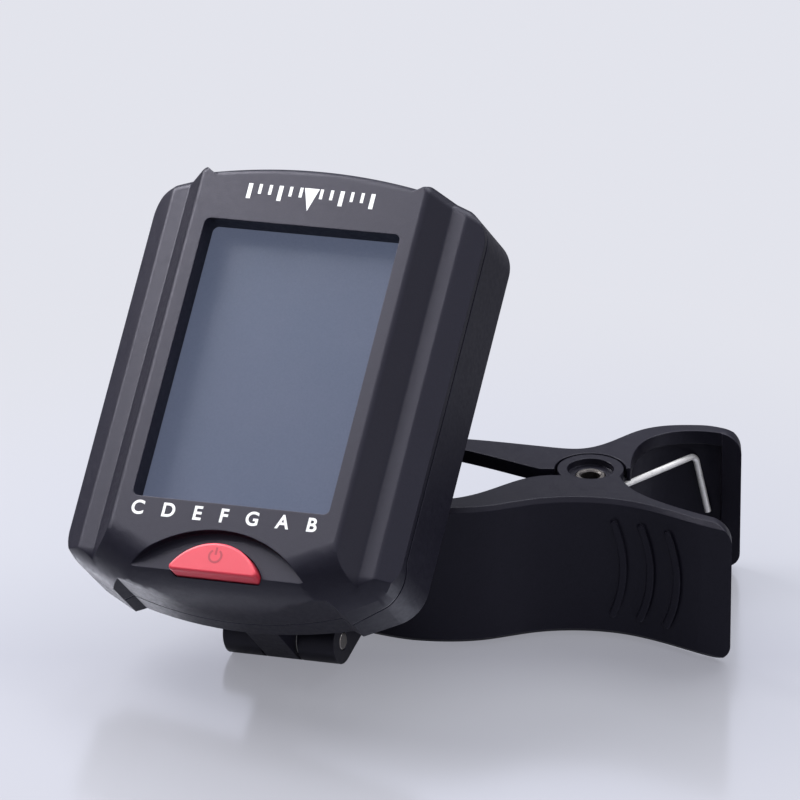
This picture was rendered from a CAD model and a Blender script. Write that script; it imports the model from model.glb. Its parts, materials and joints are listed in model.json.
import json
import math

import bpy
from mathutils import Matrix, Vector


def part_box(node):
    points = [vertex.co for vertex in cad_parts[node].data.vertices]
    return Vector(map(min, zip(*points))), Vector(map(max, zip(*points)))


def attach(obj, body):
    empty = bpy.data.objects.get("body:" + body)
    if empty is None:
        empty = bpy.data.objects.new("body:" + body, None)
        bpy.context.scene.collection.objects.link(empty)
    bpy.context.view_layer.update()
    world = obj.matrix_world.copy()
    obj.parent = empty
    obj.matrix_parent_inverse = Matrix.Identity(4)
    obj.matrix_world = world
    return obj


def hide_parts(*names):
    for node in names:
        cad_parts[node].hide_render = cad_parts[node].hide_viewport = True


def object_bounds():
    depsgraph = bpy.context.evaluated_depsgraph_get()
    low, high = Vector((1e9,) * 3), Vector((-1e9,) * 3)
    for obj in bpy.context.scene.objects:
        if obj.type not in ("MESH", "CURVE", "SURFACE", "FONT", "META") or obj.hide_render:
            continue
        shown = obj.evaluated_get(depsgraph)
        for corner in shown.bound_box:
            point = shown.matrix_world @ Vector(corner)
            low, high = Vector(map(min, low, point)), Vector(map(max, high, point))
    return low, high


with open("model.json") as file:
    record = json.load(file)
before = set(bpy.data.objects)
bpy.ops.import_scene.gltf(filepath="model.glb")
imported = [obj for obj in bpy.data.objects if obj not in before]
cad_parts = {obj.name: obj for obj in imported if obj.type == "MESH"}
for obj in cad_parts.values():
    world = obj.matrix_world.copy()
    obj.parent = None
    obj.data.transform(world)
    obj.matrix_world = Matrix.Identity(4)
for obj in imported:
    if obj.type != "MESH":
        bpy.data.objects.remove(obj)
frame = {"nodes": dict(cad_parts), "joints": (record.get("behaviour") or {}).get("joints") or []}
cad_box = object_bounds()

MM = 0.001
nodes = frame["nodes"]
joints = {joint["name"]: joint for joint in frame["joints"]}


# ---------------------------------------------------------------- places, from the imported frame
def middle(node):
    """Centre of a CAD node's box, in metres."""
    low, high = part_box(node)
    return (low + high) / 2


def reach(node, direction):
    """Furthest a CAD node goes along a direction, in metres from the origin."""
    return max(vertex.co.dot(direction) for vertex in nodes[node].data.vertices)


# The head's own axes: right across the display, up it, and straight out of it.
head_right = Vector(joints["head_tilt"]["axis"]).normalized()
head_up = Vector(joints["battery_door_slide"]["axis"]).normalized()
head_out = -Vector(joints["power_button_press"]["axis"]).normalized()


def head_point(right, up, out):
    """Point in the row frame from head coordinates in metres."""
    return head_right * right + head_up * up + head_out * out


# Middle of the display window on the front panel, in head coordinates.
lens_right = (reach("display_lens", head_right) - reach("display_lens", -head_right)) / 2
lens_up = (reach("display_lens", head_up) - reach("display_lens", -head_up)) / 2
panel_out = reach("front_shell", head_out)
window = head_point(lens_right, lens_up, panel_out)


def head_frame(right_mm, up_mm, out_mm):
    """Matrix that carries a flat shape drawn in x and y onto the head, in millimetres from the window."""
    place = window + head_point(right_mm * MM, up_mm * MM, out_mm * MM)
    turn = Matrix((head_right, head_up, head_out)).transposed().to_4x4()
    return Matrix.Translation(place) @ turn


# ---------------------------------------------------------------- material building blocks
class Shader:
    """A node material under construction, with short ways to add and join nodes."""

    def __init__(self, name):
        self.material = bpy.data.materials.new(name)
        self.material.use_nodes = True
        self.tree = self.material.node_tree
        self.tree.nodes.clear()
        self.output = self.add("ShaderNodeOutputMaterial")
        self.surface = self.add("ShaderNodeBsdfPrincipled")
        self.join(self.surface, "BSDF", self.output, "Surface")
        self.place = self.add("ShaderNodeTexCoord")

    def add(self, kind, **values):
        """Add a node; values set its properties, or its inputs when the name is an input's."""
        node = self.tree.nodes.new(kind)
        for key, value in values.items():
            if hasattr(node, key):
                setattr(node, key, value)
            else:
                node.inputs[key.replace("_", " ")].default_value = value
        return node

    def join(self, source, out_name, target, in_name):
        """Link one node's output to another's input."""
        self.tree.links.new(source.outputs[out_name], target.inputs[in_name])

    def set(self, **values):
        """Set inputs of the main surface; underscores stand for spaces."""
        for key, value in values.items():
            self.surface.inputs[key.replace("_", " ")].default_value = value

    def noise(self, size_mm, detail=2.0, rough=0.5):
        """Noise whose blobs are about size_mm across."""
        node = self.add("ShaderNodeTexNoise", Scale=1 / (size_mm * MM), Detail=detail, Roughness=rough)
        self.join(self.place, "Object", node, "Vector")
        return node

    def ramp(self, source, out_name, stops):
        """Colour ramp through (position, colour) stops."""
        node = self.add("ShaderNodeValToRGB")
        band = node.color_ramp
        while len(band.elements) < len(stops):
            band.elements.new(0.5)
        for element, (position, colour) in zip(band.elements, stops):
            element.position = position
            element.color = (*colour, 1)
        self.join(source, out_name, node, "Fac")
        return node

    def span(self, source, out_name, low, high, from_low=0.0, from_high=1.0):
        """Map a value's range onto low to high."""
        node = self.add("ShaderNodeMapRange")
        limits = {"From Min": from_low, "From Max": from_high, "To Min": low, "To Max": high}
        for name, value in limits.items():
            node.inputs[name].default_value = value
        self.join(source, out_name, node, "Value")
        return node

    def blend(self, factor, out_name, first, second):
        """Mix two colours, each a node's Color output or a plain colour, by a factor."""
        node = self.add("ShaderNodeMix", data_type="RGBA")
        self.tree.links.new(factor.outputs[out_name], node.inputs[0])
        for slot, colour in ((6, first), (7, second)):
            if isinstance(colour, bpy.types.Node):
                result = 2 if colour.bl_idname == "ShaderNodeMix" else "Color"
                self.tree.links.new(colour.outputs[result], node.inputs[slot])
            else:
                node.inputs[slot].default_value = (*colour, 1)
        return node

    def paint(self, mix):
        """Use a colour mix as the surface's colour."""
        self.tree.links.new(mix.outputs[2], self.surface.inputs["Base Color"])

    def bump(self, layers, edge_mm=0.0):
        """Stack bumps, each (node, output, height in mm), over normals softened at edges."""
        normal = None
        if edge_mm:
            normal = self.add("ShaderNodeBevel", samples=6, Radius=edge_mm * MM)
        for source, out_name, height_mm in layers:
            node = self.add("ShaderNodeBump", Strength=1.0, Distance=height_mm * MM)
            self.join(source, out_name, node, "Height")
            if normal:
                self.join(normal, "Normal", node, "Normal")
            normal = node
        if normal:
            self.join(normal, "Normal", self.surface, "Normal")

    def edge_mask(self, radius_mm):
        """0 on flats rising to 1 at edges, from how far softened normals lean away from true ones."""
        soft = self.add("ShaderNodeBevel", samples=6, Radius=radius_mm * MM)
        true = self.add("ShaderNodeNewGeometry")
        dot = self.add("ShaderNodeVectorMath", operation="DOT_PRODUCT")
        self.tree.links.new(soft.outputs["Normal"], dot.inputs[0])
        self.tree.links.new(true.outputs["Normal"], dot.inputs[1])
        return self.span(dot, "Value", 1.0, 0.0, 0.80, 0.995)


def moulded_plastic(name, colour, pale, roughness, grain_mm, grain_height_mm, edge_mm, gloss=0.34):
    """Matt moulded plastic: spark-eroded grain, faint mottling, and edges rubbed paler and smoother."""
    shader = Shader(name)
    mottle = shader.noise(6.0, 3.0)
    grain = shader.noise(grain_mm, 2.0, 0.6)
    coarse = shader.noise(grain_mm * 4, 2.0)
    edges = shader.edge_mask(0.22)
    tone = shader.blend(mottle, "Fac", colour, pale)
    speck = shader.ramp(grain, "Fac", [(0.35, (0.72, 0.72, 0.74)), (0.65, (1.25, 1.25, 1.25))])
    speckled = shader.add("ShaderNodeMix", data_type="RGBA", blend_type="MULTIPLY")
    speckled.inputs[0].default_value = 0.55
    shader.tree.links.new(tone.outputs[2], speckled.inputs[6])
    shader.tree.links.new(speck.outputs["Color"], speckled.inputs[7])
    rubbed = shader.span(edges, "Result", 0.0, 0.35)
    worn = shader.blend(rubbed, "Result", speckled, tuple(3.0 * part for part in pale))
    shader.paint(worn)
    rough_noise = shader.span(coarse, "Fac", roughness - 0.05, roughness + 0.06, 0.3, 0.7)
    rough_edge = shader.add("ShaderNodeMath", operation="MULTIPLY_ADD")
    rough_edge.inputs[1].default_value = -0.12
    shader.tree.links.new(edges.outputs["Result"], rough_edge.inputs[0])
    shader.tree.links.new(rough_noise.outputs["Result"], rough_edge.inputs[2])
    shader.join(rough_edge, "Value", shader.surface, "Roughness")
    shader.set(IOR=1.5, Specular_IOR_Level=gloss, Specular_Tint=(0.87, 0.86, 1.0, 1))
    shader.bump([(coarse, "Fac", grain_height_mm), (grain, "Fac", grain_height_mm)], edge_mm)
    return shader.material


def metal(name, colour, roughness, streak_mm, streak_height_mm, metallic=1.0):
    """Worked metal: brushed streaks, small tarnish spots and softened edges."""
    shader = Shader(name)
    spots = shader.noise(0.8, 4.0, 0.7)
    stretch = shader.add("ShaderNodeMapping")
    stretch.inputs["Scale"].default_value = (1.0, 1.0, 0.08)
    streaks = shader.add("ShaderNodeTexNoise", Scale=1 / (streak_mm * MM), Detail=3.0)
    shader.join(shader.place, "Object", stretch, "Vector")
    shader.join(stretch, "Vector", streaks, "Vector")
    dark = tuple(0.62 * part for part in colour)
    shader.paint(shader.blend(shader.span(spots, "Fac", 0.0, 1.0, 0.52, 0.75), "Result", colour, dark))
    rough = shader.span(streaks, "Fac", roughness - 0.06, roughness + 0.10, 0.3, 0.7)
    shader.join(rough, "Result", shader.surface, "Roughness")
    shader.set(Metallic=metallic)
    shader.bump([(streaks, "Fac", streak_height_mm)], 0.08)
    return shader.material


def soft_rubber(name, colour):
    """Dull rubber with a fine dusty grain."""
    shader = Shader(name)
    dust = shader.noise(1.6, 4.0, 0.65)
    grain = shader.noise(0.10, 2.0)
    dusty = tuple(2.4 * part for part in colour)
    shader.paint(shader.blend(shader.span(dust, "Fac", 0.0, 0.6, 0.45, 0.75), "Result", colour, dusty))
    rough = shader.span(grain, "Fac", 0.72, 0.92)
    shader.join(rough, "Result", shader.surface, "Roughness")
    shader.bump([(grain, "Fac", 0.010)], 0.10)
    return shader.material


def red_button_plastic(name):
    """Satin red plastic with a little light passing into it and a rubbed crown."""
    shader = Shader(name)
    mottle = shader.noise(3.0, 3.0)
    grain = shader.noise(0.14, 2.0)
    edges = shader.edge_mask(0.25)
    base = shader.blend(mottle, "Fac", (0.58, 0.036, 0.062), (0.64, 0.044, 0.072))
    shader.paint(shader.blend(shader.span(edges, "Result", 0.0, 0.35), "Result", base, (0.95, 0.22, 0.25)))
    rough = shader.span(grain, "Fac", 0.34, 0.46)
    shader.join(rough, "Result", shader.surface, "Roughness")
    shader.set(IOR=1.5, Subsurface_Weight=0.08, Subsurface_Scale=0.6 * MM, Subsurface_Radius=(1.0, 0.3, 0.25))
    shader.bump([(grain, "Fac", 0.004)], 0.15)
    return shader.material


def display_glass(name):
    """Display layer behind the window: grey-blue, slightly glowing, with fine specks and faint clouds."""
    shader = Shader(name)
    cloud = shader.noise(12.0, 2.0)
    weave = shader.noise(0.25, 1.0)
    tone = shader.blend(cloud, "Fac", (0.030, 0.036, 0.052), (0.034, 0.038, 0.054))
    fine = shader.ramp(weave, "Fac", [(0.3, (0.96, 0.96, 0.97)), (0.7, (1.03, 1.03, 1.03))])
    textured = shader.add("ShaderNodeMix", data_type="RGBA", blend_type="MULTIPLY")
    textured.inputs[0].default_value = 1.0
    shader.tree.links.new(tone.outputs[2], textured.inputs[6])
    shader.tree.links.new(fine.outputs["Color"], textured.inputs[7])
    shader.paint(textured)
    rough = shader.span(weave, "Fac", 0.30, 0.38)
    shader.join(rough, "Result", shader.surface, "Roughness")
    shader.tree.links.new(textured.outputs[2], shader.surface.inputs["Emission Color"])
    shader.set(Emission_Strength=3.05, Specular_IOR_Level=0.1)
    return shader.material


def window_acrylic(name):
    """Clear window: mostly see-through, with a weak blurred reflection that grows at a glancing angle."""
    shader = Shader(name)
    smear = shader.noise(9.0, 3.0)
    fine = shader.noise(0.9, 2.0)
    clear = shader.add("ShaderNodeBsdfTransparent")
    clear.inputs["Color"].default_value = (0.93, 0.94, 0.96, 1)
    shine = shader.add("ShaderNodeBsdfGlossy")
    rough = shader.span(smear, "Fac", 0.24, 0.34)
    shader.join(rough, "Result", shine, "Roughness")
    bump = shader.add("ShaderNodeBump", Strength=0.4, Distance=0.002 * MM)
    shader.join(fine, "Fac", bump, "Height")
    shader.join(bump, "Normal", shine, "Normal")
    fresnel = shader.add("ShaderNodeFresnel", IOR=1.49)
    facing = shader.span(fresnel, "Fac", 0.0, 0.06)
    mix = shader.add("ShaderNodeMixShader")
    shader.join(facing, "Result", mix, "Fac")
    shader.tree.links.new(clear.outputs["BSDF"], mix.inputs[1])
    shader.tree.links.new(shine.outputs["BSDF"], mix.inputs[2])
    shader.tree.links.remove(shader.output.inputs["Surface"].links[0])
    shader.tree.nodes.remove(shader.surface)
    shader.join(mix, "Shader", shader.output, "Surface")
    return shader.material


def printed_ink(name, colour, worn_colour):
    """Pad-printed ink: slightly uneven, thinner in tiny specks."""
    shader = Shader(name)
    specks = shader.noise(0.16, 3.0, 0.7)
    thin = shader.span(specks, "Fac", 0.0, 0.5, 0.60, 0.78)
    shader.paint(shader.blend(thin, "Result", colour, worn_colour))
    rough = shader.span(specks, "Fac", 0.42, 0.60)
    shader.join(rough, "Result", shader.surface, "Roughness")
    shader.bump([(specks, "Fac", 0.002)])
    return shader.material


def circuit_laminate(name):
    """Green solder mask over a faint glass weave."""
    shader = Shader(name)
    weave = shader.add("ShaderNodeTexWave", Scale=1 / (1.2 * MM), Distortion=1.5)
    shader.join(shader.place, "Object", weave, "Vector")
    shader.paint(shader.blend(weave, "Fac", (0.012, 0.11, 0.045), (0.018, 0.15, 0.06)))
    rough = shader.span(weave, "Fac", 0.28, 0.40)
    shader.join(rough, "Result", shader.surface, "Roughness")
    shader.bump([(weave, "Fac", 0.01)], 0.08)
    return shader.material


# ---------------------------------------------------------------- finishes of the CAD pieces
head_plastic = moulded_plastic(
    "head_plastic", (0.0068, 0.0063, 0.0120), (0.0090, 0.0086, 0.0155),
    roughness=0.44, grain_mm=0.16, grain_height_mm=0.007, edge_mm=0.14)
clip_plastic = moulded_plastic(
    "clip_plastic", (0.0060, 0.0055, 0.0100), (0.0082, 0.0077, 0.0130),
    roughness=0.38, grain_mm=0.20, grain_height_mm=0.004, edge_mm=0.20, gloss=0.25)
bracket_plastic = moulded_plastic(
    "bracket_plastic", (0.0060, 0.0056, 0.0090), (0.0085, 0.0080, 0.0120),
    roughness=0.38, grain_mm=0.18, grain_height_mm=0.004, edge_mm=0.16)
part_plastic = moulded_plastic(
    "small_part_plastic", (0.016, 0.016, 0.017), (0.026, 0.026, 0.028),
    roughness=0.48, grain_mm=0.12, grain_height_mm=0.004, edge_mm=0.08)
nylon = moulded_plastic(
    "nylon", (0.62, 0.61, 0.57), (0.70, 0.69, 0.65),
    roughness=0.45, grain_mm=0.15, grain_height_mm=0.003, edge_mm=0.08)
diffuser = moulded_plastic(
    "diffuser_plastic", (0.78, 0.80, 0.82), (0.84, 0.86, 0.88),
    roughness=0.30, grain_mm=0.15, grain_height_mm=0.002, edge_mm=0.08)
pad_rubber = soft_rubber("pad_rubber", (0.020, 0.020, 0.022))
foam = soft_rubber("foam", (0.010, 0.010, 0.011))
strip_rubber = soft_rubber("strip_rubber", (0.16, 0.14, 0.15))
bright_wire = metal("bright_wire", (0.86, 0.85, 0.83), 0.36, 0.25, 0.001, 0.45)
dull_steel = metal("dull_steel", (0.13, 0.12, 0.115), 0.44, 0.12, 0.002)
pin_steel = metal("pin_steel", (0.30, 0.28, 0.26), 0.34, 0.12, 0.002)
plated_steel = metal("plated_steel", (0.62, 0.61, 0.58), 0.34, 0.15, 0.002)
black_zinc = metal("black_zinc", (0.10, 0.10, 0.11), 0.40, 0.15, 0.002)
disc_brass = metal("disc_brass", (0.72, 0.52, 0.22), 0.32, 0.15, 0.002)
silvered = metal("silvered_ceramic", (0.70, 0.69, 0.66), 0.50, 0.10, 0.002)

finishes = {
    "front_shell": head_plastic,
    "back_shell": head_plastic,
    "battery_door": head_plastic,
    "power_button": red_button_plastic("button_red"),
    "display_lens": window_acrylic("window_acrylic"),
    "lens_gasket": foam,
    "lcd_panel": display_glass("display_glass"),
    "light_guide": diffuser,
    "zebra_strips": strip_rubber,
    "circuit_board": circuit_laminate("circuit_laminate"),
    "controller_chip": part_plastic,
    "crystal_can": plated_steel,
    "switch_body": part_plastic,
    "switch_plunger": part_plastic,
    "piezo_disc": disc_brass,
    "piezo_ceramic": silvered,
    "coin_cell": plated_steel,
    "battery_contact_negative": plated_steel,
    "battery_contact_positive": plated_steel,
    "shell_screws": black_zinc,
    "hinge_bracket": bracket_plastic,
    "hinge_pin": pin_steel,
    "hinge_washers": nylon,
    "front_jaw": clip_plastic,
    "rear_jaw": clip_plastic,
    "front_pad": pad_rubber,
    "rear_pad": pad_rubber,
    "pivot_pin": dull_steel,
    "torsion_spring": bright_wire,
    "swivel_rivet": plated_steel,
    "swivel_washer": plated_steel,
}
for node, finish in finishes.items():
    nodes[node].data.materials.clear()
    nodes[node].data.materials.append(finish)


# ---------------------------------------------------------------- softened edges
EDGE_WIDTHS_MM = {
    "front_shell": 0.35,
    "back_shell": 0.30,
    "front_jaw": 0.30,
    "rear_jaw": 0.30,
    "power_button": 0.25,
    "hinge_bracket": 0.25,
}
EDGE_SEGMENTS = 3
EDGE_MIN_ANGLE = math.radians(32)
SAME_POINT_MM = 0.001
FLAT_ANGLE = math.radians(0.5)


def soften(node, width_mm):
    """Bevel a moulded piece's sharp edges and even out its shading, without touching the CAD mesh.

    The width is an upper bound: Blender's overlap clamp narrows a whole piece's bevel where its edges lie
    close together. That leaves almost none on the two shells and the front jaw, whose edges look soft by
    shading alone, and a narrower one than asked on the other three pieces.
    """
    piece = nodes[node]
    weld = piece.modifiers.new("weld", "WELD")
    weld.merge_threshold = SAME_POINT_MM * MM
    flat = piece.modifiers.new("flat_faces", "DECIMATE")
    flat.decimate_type = "DISSOLVE"
    flat.angle_limit = FLAT_ANGLE
    bevel = piece.modifiers.new("soft_edges", "BEVEL")
    bevel.width = width_mm * MM
    bevel.segments = EDGE_SEGMENTS
    bevel.limit_method = "ANGLE"
    bevel.angle_limit = EDGE_MIN_ANGLE
    bevel.use_clamp_overlap = True
    normals = piece.modifiers.new("normals", "WEIGHTED_NORMAL")
    normals.keep_sharp = True
    piece.data.shade_smooth()


for node, width_mm in EDGE_WIDTHS_MM.items():
    soften(node, width_mm)


# ---------------------------------------------------------------- spring wire
# It is split in the coil, so that each arm follows its own jaw. Lengths in millimetres, angles in degrees.
WIRE_RADIUS = 0.4
COIL_RADIUS = 2.95
COIL_HALF_HEIGHT = 5.6
WHOLE_TURNS = 8
ARM_ANGLE = 25.0
COIL_SWEEP = WHOLE_TURNS * 360.0 + 2 * ARM_ANGLE
FOLLOWING_SWEEP = 30.0
OVERLAP_SWEEP = 5.0
COIL_STEP = 12.0
FINE_COIL_STEP = 5.0
ARM_BEND = 1.0
BEND_STEPS = 8
WIRE_SIDES = 14
WIRE_END_ANGLE = 50
FRONT_CORNER = Vector((12.3, -11.7, -COIL_HALF_HEIGHT))
FRONT_END = Vector((14.0, -12.75, 1.9))
REAR_CORNER = Vector((13.3, 11.36, COIL_HALF_HEIGHT))
REAR_END = Vector((15.0, 11.0, -2.0))
pivot = Vector(joints["jaw_pivot"]["pos_m"]) / MM


def coil_point(sweep):
    """Point on the coil after so many degrees of winding from its lower end."""
    angle = math.radians(sweep - ARM_ANGLE)
    rise = 2 * COIL_HALF_HEIGHT * sweep / COIL_SWEEP - COIL_HALF_HEIGHT
    return Vector((COIL_RADIUS * math.cos(angle), COIL_RADIUS * math.sin(angle), rise))


def coil_path(start, end, step=COIL_STEP):
    """Points along the coil between two amounts of winding."""
    count = max(2, round(abs(end - start) / step))
    return [coil_point(start + (end - start) * i / count) for i in range(count + 1)]


def arm_path(start, corner, end):
    """Points along an arm's rounded bend and on to its end, given where it starts, turns and ends."""
    inward, outward = (start - corner).normalized(), (end - corner).normalized()
    half = inward.angle(outward) / 2
    cut = ARM_BEND / math.tan(half)
    bend_centre = corner + (inward + outward).normalized() * (ARM_BEND / math.sin(half))
    first = corner + inward * cut - bend_centre
    last = corner + outward * cut - bend_centre
    return [bend_centre + first.slerp(last, i / BEND_STEPS) for i in range(BEND_STEPS + 1)] + [end]


def wire_piece(name, path, body):
    """Round wire with closed ends along a path given in millimetres from the pivot."""
    rings, faces = [], []
    across = None
    for i, point in enumerate(path):
        along = (path[min(i + 1, len(path) - 1)] - path[max(i - 1, 0)]).normalized()
        across = along.orthogonal() if across is None else across - along * across.dot(along)
        across.normalize()
        other = along.cross(across)
        for side in range(WIRE_SIDES):
            angle = 2 * math.pi * side / WIRE_SIDES
            rim = point + (across * math.cos(angle) + other * math.sin(angle)) * WIRE_RADIUS
            rings.append((rim + pivot) * MM)
    for i in range(len(path) - 1):
        for side in range(WIRE_SIDES):
            here = i * WIRE_SIDES + side
            beside = i * WIRE_SIDES + (side + 1) % WIRE_SIDES
            faces.append((here, beside, beside + WIRE_SIDES, here + WIRE_SIDES))
    faces.append(tuple(reversed(range(WIRE_SIDES))))
    faces.append(tuple(len(rings) - WIRE_SIDES + side for side in range(WIRE_SIDES)))
    mesh = bpy.data.meshes.new(name)
    mesh.from_pydata(rings, [], faces)
    mesh.shade_smooth()
    mesh.set_sharp_from_angle(angle=math.radians(WIRE_END_ANGLE))
    mesh.materials.append(bright_wire)
    piece = bpy.data.objects.new(name, mesh)
    bpy.context.scene.collection.objects.link(piece)
    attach(piece, body)
    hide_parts("torsion_spring")


front_arm = arm_path(coil_point(0), FRONT_CORNER, FRONT_END)
rear_arm = arm_path(coil_point(COIL_SWEEP), REAR_CORNER, REAR_END)
following_start = COIL_SWEEP - FOLLOWING_SWEEP
fixed_coil = coil_path(0, following_start + OVERLAP_SWEEP)
following_coil = coil_path(following_start, COIL_SWEEP, FINE_COIL_STEP)
wire_piece("spring_coil", front_arm[::-1] + fixed_coil, "front_clip")
wire_piece("spring_rear_arm", following_coil + rear_arm, "rear_clip")


# ---------------------------------------------------------------- printed marks on the head
def flat_piece(name, outlines, thickness_mm, place, finish, body):
    """Thin solid made of closed outlines in millimetres, standing on its place."""
    points, faces = [], []
    for outline in outlines:
        count = len(outline)
        base = len(points)
        points += [(x * MM, y * MM, 0.0) for x, y in outline]
        points += [(x * MM, y * MM, thickness_mm * MM) for x, y in outline]
        faces.append([base + i for i in reversed(range(count))])
        faces.append([base + count + i for i in range(count)])
        for i in range(count):
            j = (i + 1) % count
            faces.append([base + i, base + j, base + count + j, base + count + i])
    mesh = bpy.data.meshes.new(name)
    mesh.from_pydata(points, [], faces)
    mesh.update()
    piece = bpy.data.objects.new(name, mesh)
    bpy.context.scene.collection.objects.link(piece)
    mesh.materials.append(finish)
    piece.matrix_world = place
    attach(piece, body)


def bar(x, y, width, height):
    """Upright rectangle about a centre."""
    w, h = width / 2, height / 2
    return [(x - w, y - h), (x + w, y - h), (x + w, y + h), (x - w, y + h)]


def ring_part(x, y, radius, width, start, end, steps=40):
    """Arc band about a centre, between two angles in degrees."""
    angles = [math.radians(start + (end - start) * i / steps) for i in range(steps + 1)]
    outer = [(x + (radius + width / 2) * math.cos(a), y + (radius + width / 2) * math.sin(a)) for a in angles]
    inner = [(x + (radius - width / 2) * math.cos(a), y + (radius - width / 2) * math.sin(a)) for a in angles]
    return outer + inner[::-1]


# Places are millimetres from the middle of the window; the marks stand a little proud of the panel.
PRINT_THICKNESS = 0.02
SCALE_UP = 22.0
SCALE_TOP = 1.5
TICKS_EACH_SIDE = 6
TICK_PITCH = 1.38
LONG_TICK_EVERY = 3
LONG_TICK = (0.55, 2.0)
SHORT_TICK = (0.40, 1.3)
POINTER_HALF_WIDTH = 1.0
SYMBOL_UP = -25.35
SYMBOL_RADIUS = 0.80
SYMBOL_LINE = 0.26
SYMBOL_GAP_START, SYMBOL_GAP_END = 125, 415
SYMBOL_STEM_UP, SYMBOL_STEM_HEIGHT = 0.62, 0.95
NOTES_RIGHT, NOTES_UP = -0.4, -20.1
NOTE_HEIGHT = 2.5
NOTE_SPACING = 1.25
LETTER_STROKE_GAIN = 0.022
white_ink = printed_ink("white_ink", (0.80, 0.80, 0.80), (0.45, 0.45, 0.46))
button_ink = printed_ink("button_ink", (0.36, 0.020, 0.040), (0.46, 0.035, 0.055))


def tuning_scale():
    """Ticks hanging from one line, every third one long, on both sides of a middle pointer."""
    marks = []
    for step in range(-TICKS_EACH_SIDE, TICKS_EACH_SIDE + 1):
        if step:
            width, tall = SHORT_TICK if step % LONG_TICK_EVERY else LONG_TICK
            marks.append(bar(step * TICK_PITCH, SCALE_TOP - tall / 2, width, tall))
    marks.append([(-POINTER_HALF_WIDTH, SCALE_TOP), (0.0, -SCALE_TOP), (POINTER_HALF_WIDTH, SCALE_TOP)])
    return marks


def power_mark():
    """Open ring with a stem standing in its gap."""
    ring = ring_part(0, 0, SYMBOL_RADIUS, SYMBOL_LINE, SYMBOL_GAP_START, SYMBOL_GAP_END)
    return [ring, bar(0, SYMBOL_STEM_UP, SYMBOL_LINE, SYMBOL_STEM_HEIGHT)]


def text_piece(name, words, height_mm, place, finish, body):
    """Printed generic characters as a thin mesh."""
    curve = bpy.data.curves.new(name, "FONT")
    curve.body = words
    curve.size = height_mm * MM
    curve.space_character = NOTE_SPACING
    curve.align_x = "CENTER"
    curve.align_y = "CENTER"
    curve.extrude = PRINT_THICKNESS * MM / 2
    curve.offset = LETTER_STROKE_GAIN * height_mm * MM
    source = bpy.data.objects.new(name + "_curve", curve)
    bpy.context.scene.collection.objects.link(source)
    bpy.context.view_layer.update()
    mesh = bpy.data.meshes.new_from_object(source)
    bpy.data.objects.remove(source)
    mesh.name = name
    piece = bpy.data.objects.new(name, mesh)
    bpy.context.scene.collection.objects.link(piece)
    mesh.materials.clear()
    mesh.materials.append(finish)
    piece.matrix_world = place
    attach(piece, body)


button_crown = (reach("power_button", head_out) - panel_out) / MM
scale_place = head_frame(0.0, SCALE_UP, 0.0)
symbol_place = head_frame(0.0, SYMBOL_UP, button_crown)
notes_place = head_frame(NOTES_RIGHT, NOTES_UP, PRINT_THICKNESS / 2)
flat_piece("scale_print", tuning_scale(), PRINT_THICKNESS, scale_place, white_ink, "head")
flat_piece("power_symbol", power_mark(), PRINT_THICKNESS, symbol_place, button_ink, "button")
text_piece("note_print", "C  D  E  F  G  A  B", NOTE_HEIGHT, notes_place, white_ink, "head")


# ---------------------------------------------------------------- floor, light and camera
def area_light(name, offset_mm, size_mm, watts, colour, aim):
    """Soft box aimed at a point, placed by an offset from it."""
    lamp = bpy.data.lights.new(name, "AREA")
    lamp.shape = "RECTANGLE"
    lamp.size, lamp.size_y = (side * MM for side in size_mm)
    lamp.energy = watts
    lamp.color = colour
    holder = bpy.data.objects.new(name, lamp)
    bpy.context.scene.collection.objects.link(holder)
    holder.location = aim + Vector(offset_mm) * MM
    holder.rotation_mode = "QUATERNION"
    holder.rotation_quaternion = (aim - holder.location).to_track_quat("-Z", "Y")


low, high = cad_box
centre = (low + high) / 2
area_light("key_softbox", (-180, 90, 200), (190, 150), 1.35, (1.0, 0.99, 1.0), centre)
area_light("back_softbox", (160, 230, 480), (500, 260), 2.2, (0.96, 0.98, 1.0), centre)
area_light("right_fill", (460, -200, 110), (300, 220), 0.45, (1.0, 0.98, 1.0), centre)

FLOOR_HALF = 2.0
TABLE_INNER = 0.040
TABLE_OUTER = 0.105
GLOW_SHARE_AT_OBJECT = 0.38
GLOW_CAST_ON_OBJECT = 0.35
floor_mesh = bpy.data.meshes.new("floor")
signs = ((-1, -1), (1, -1), (1, 1), (-1, 1))
corners = [(centre.x + x * FLOOR_HALF, centre.y + y * FLOOR_HALF, low.z) for x, y in signs]
floor_mesh.from_pydata(corners, [], [(0, 1, 2, 3)])
floor = bpy.data.objects.new("floor", floor_mesh)
bpy.context.scene.collection.objects.link(floor)


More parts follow.
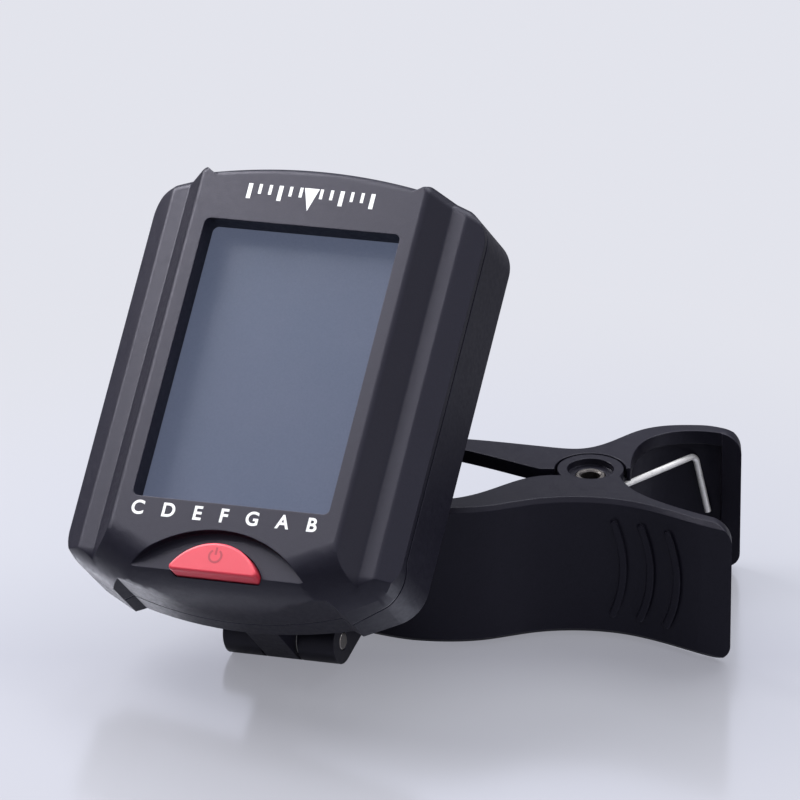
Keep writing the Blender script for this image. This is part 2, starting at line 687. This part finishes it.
def floor_material():
    """Glossy pale tabletop near the object that fades into a softly glowing backdrop further out."""
    shader = Shader("pale_floor")
    veil = shader.noise(60.0, 2.0)
    shader.paint(shader.blend(veil, "Fac", (0.215, 0.22, 0.24), (0.225, 0.23, 0.25)))
    shader.set(Roughness=0.9, Specular_IOR_Level=0.0)
    # backdrop: a slightly darker band where the table gives way to the wall
    split = shader.add("ShaderNodeSeparateXYZ")
    shader.join(shader.place, "Object", split, "Vector")
    depth = shader.span(split, "Y", 0.0, 1.0, -0.070, 0.050)
    wall = shader.ramp(depth, "Result", [
        (0.00, (0.730, 0.735, 0.810)),
        (0.36, (0.725, 0.730, 0.805)),
        (0.46, (0.655, 0.660, 0.745)),
        (0.56, (0.715, 0.725, 0.800)),
        (0.70, (0.755, 0.765, 0.830)),
        (1.00, (0.765, 0.775, 0.840)),
    ])
    glow = shader.add("ShaderNodeEmission")
    shader.join(wall, "Color", glow, "Color")
    seen = shader.add("ShaderNodeLightPath")
    strength = shader.span(seen, "Is Camera Ray", GLOW_CAST_ON_OBJECT, 1.0)
    shader.join(strength, "Result", glow, "Strength")
    # table: lit paint with a soft mirror over it
    mirror = shader.add("ShaderNodeBsdfGlossy")
    shader.join(shader.span(veil, "Fac", 0.15, 0.20), "Result", mirror, "Roughness")
    mirror.inputs["Color"].default_value = (0.62, 0.63, 0.68, 1)
    table = shader.add("ShaderNodeAddShader")
    shader.tree.links.new(shader.surface.outputs["BSDF"], table.inputs[0])
    shader.tree.links.new(mirror.outputs["BSDF"], table.inputs[1])
    # how far out from the object
    away = shader.add("ShaderNodeVectorMath", operation="SUBTRACT")
    shader.join(shader.place, "Object", away, 0)
    away.inputs[1].default_value = (centre.x, centre.y, low.z)
    length = shader.add("ShaderNodeVectorMath", operation="LENGTH")
    shader.join(away, "Vector", length, 0)
    fade = shader.span(length, "Value", GLOW_SHARE_AT_OBJECT, 1.0, TABLE_INNER, TABLE_OUTER)
    fade.interpolation_type = "SMOOTHSTEP"
    mix = shader.add("ShaderNodeMixShader")
    shader.join(fade, "Result", mix, "Fac")
    shader.tree.links.new(table.outputs["Shader"], mix.inputs[1])
    shader.tree.links.new(glow.outputs["Emission"], mix.inputs[2])
    shader.join(mix, "Shader", shader.output, "Surface")
    return shader.material


floor_mesh.materials.append(floor_material())


def studio_world():
    """Surroundings: a bright ceiling over dim walls, which the camera itself sees as one plain pale tone."""
    world = bpy.data.worlds.new("studio")
    world.use_nodes = True
    tree = world.node_tree
    tree.nodes.clear()
    output = tree.nodes.new("ShaderNodeOutputWorld")
    mix = tree.nodes.new("ShaderNodeMixShader")
    ray = tree.nodes.new("ShaderNodeLightPath")
    seen = tree.nodes.new("ShaderNodeBackground")
    seen.inputs["Color"].default_value = (0.753, 0.760, 0.831, 1)
    lit = tree.nodes.new("ShaderNodeBackground")
    place = tree.nodes.new("ShaderNodeTexCoord")
    split = tree.nodes.new("ShaderNodeSeparateXYZ")
    ramp = tree.nodes.new("ShaderNodeValToRGB")
    stops = [
        (0.00, (0.10, 0.10, 0.12)),
        (0.30, (0.16, 0.16, 0.19)),
        (0.45, (0.30, 0.31, 0.36)),
        (0.75, (0.85, 0.86, 0.95)),
        (1.00, (1.00, 1.01, 1.10)),
    ]
    while len(ramp.color_ramp.elements) < len(stops):
        ramp.color_ramp.elements.new(0.5)
    for element, (position, colour) in zip(ramp.color_ramp.elements, stops):
        element.position = position
        element.color = (*colour, 1)
    tree.links.new(place.outputs["Generated"], split.inputs["Vector"])
    tree.links.new(split.outputs["Z"], ramp.inputs["Fac"])
    tree.links.new(ramp.outputs["Color"], lit.inputs["Color"])
    tree.links.new(ray.outputs["Is Camera Ray"], mix.inputs["Fac"])
    tree.links.new(lit.outputs["Background"], mix.inputs[1])
    tree.links.new(seen.outputs["Background"], mix.inputs[2])
    tree.links.new(mix.outputs["Shader"], output.inputs["Surface"])
    bpy.context.scene.world = world


studio_world()
bpy.context.scene.view_settings.view_transform = "Standard"

CAMERA_DISTANCE = 1.2
CAMERA_ELEVATION = math.radians(25.2)
CAMERA_LENS = 435.2
aim_from_pivot = Vector((-23.56, 7.16, 15.21)) * MM
camera_data = bpy.data.cameras.new("camera")
camera_data.lens = CAMERA_LENS
camera_data.sensor_width = 36.0
camera_data.clip_start, camera_data.clip_end = 0.01, 20.0
camera = bpy.data.objects.new("camera", camera_data)
bpy.context.scene.collection.objects.link(camera)
aim = middle("pivot_pin") + aim_from_pivot
back = Vector((0, -math.cos(CAMERA_ELEVATION), math.sin(CAMERA_ELEVATION)))
camera.location = aim + back * CAMERA_DISTANCE
camera.rotation_mode = "QUATERNION"
camera.rotation_quaternion = (-back).to_track_quat("-Z", "Y")
bpy.context.scene.camera = camera
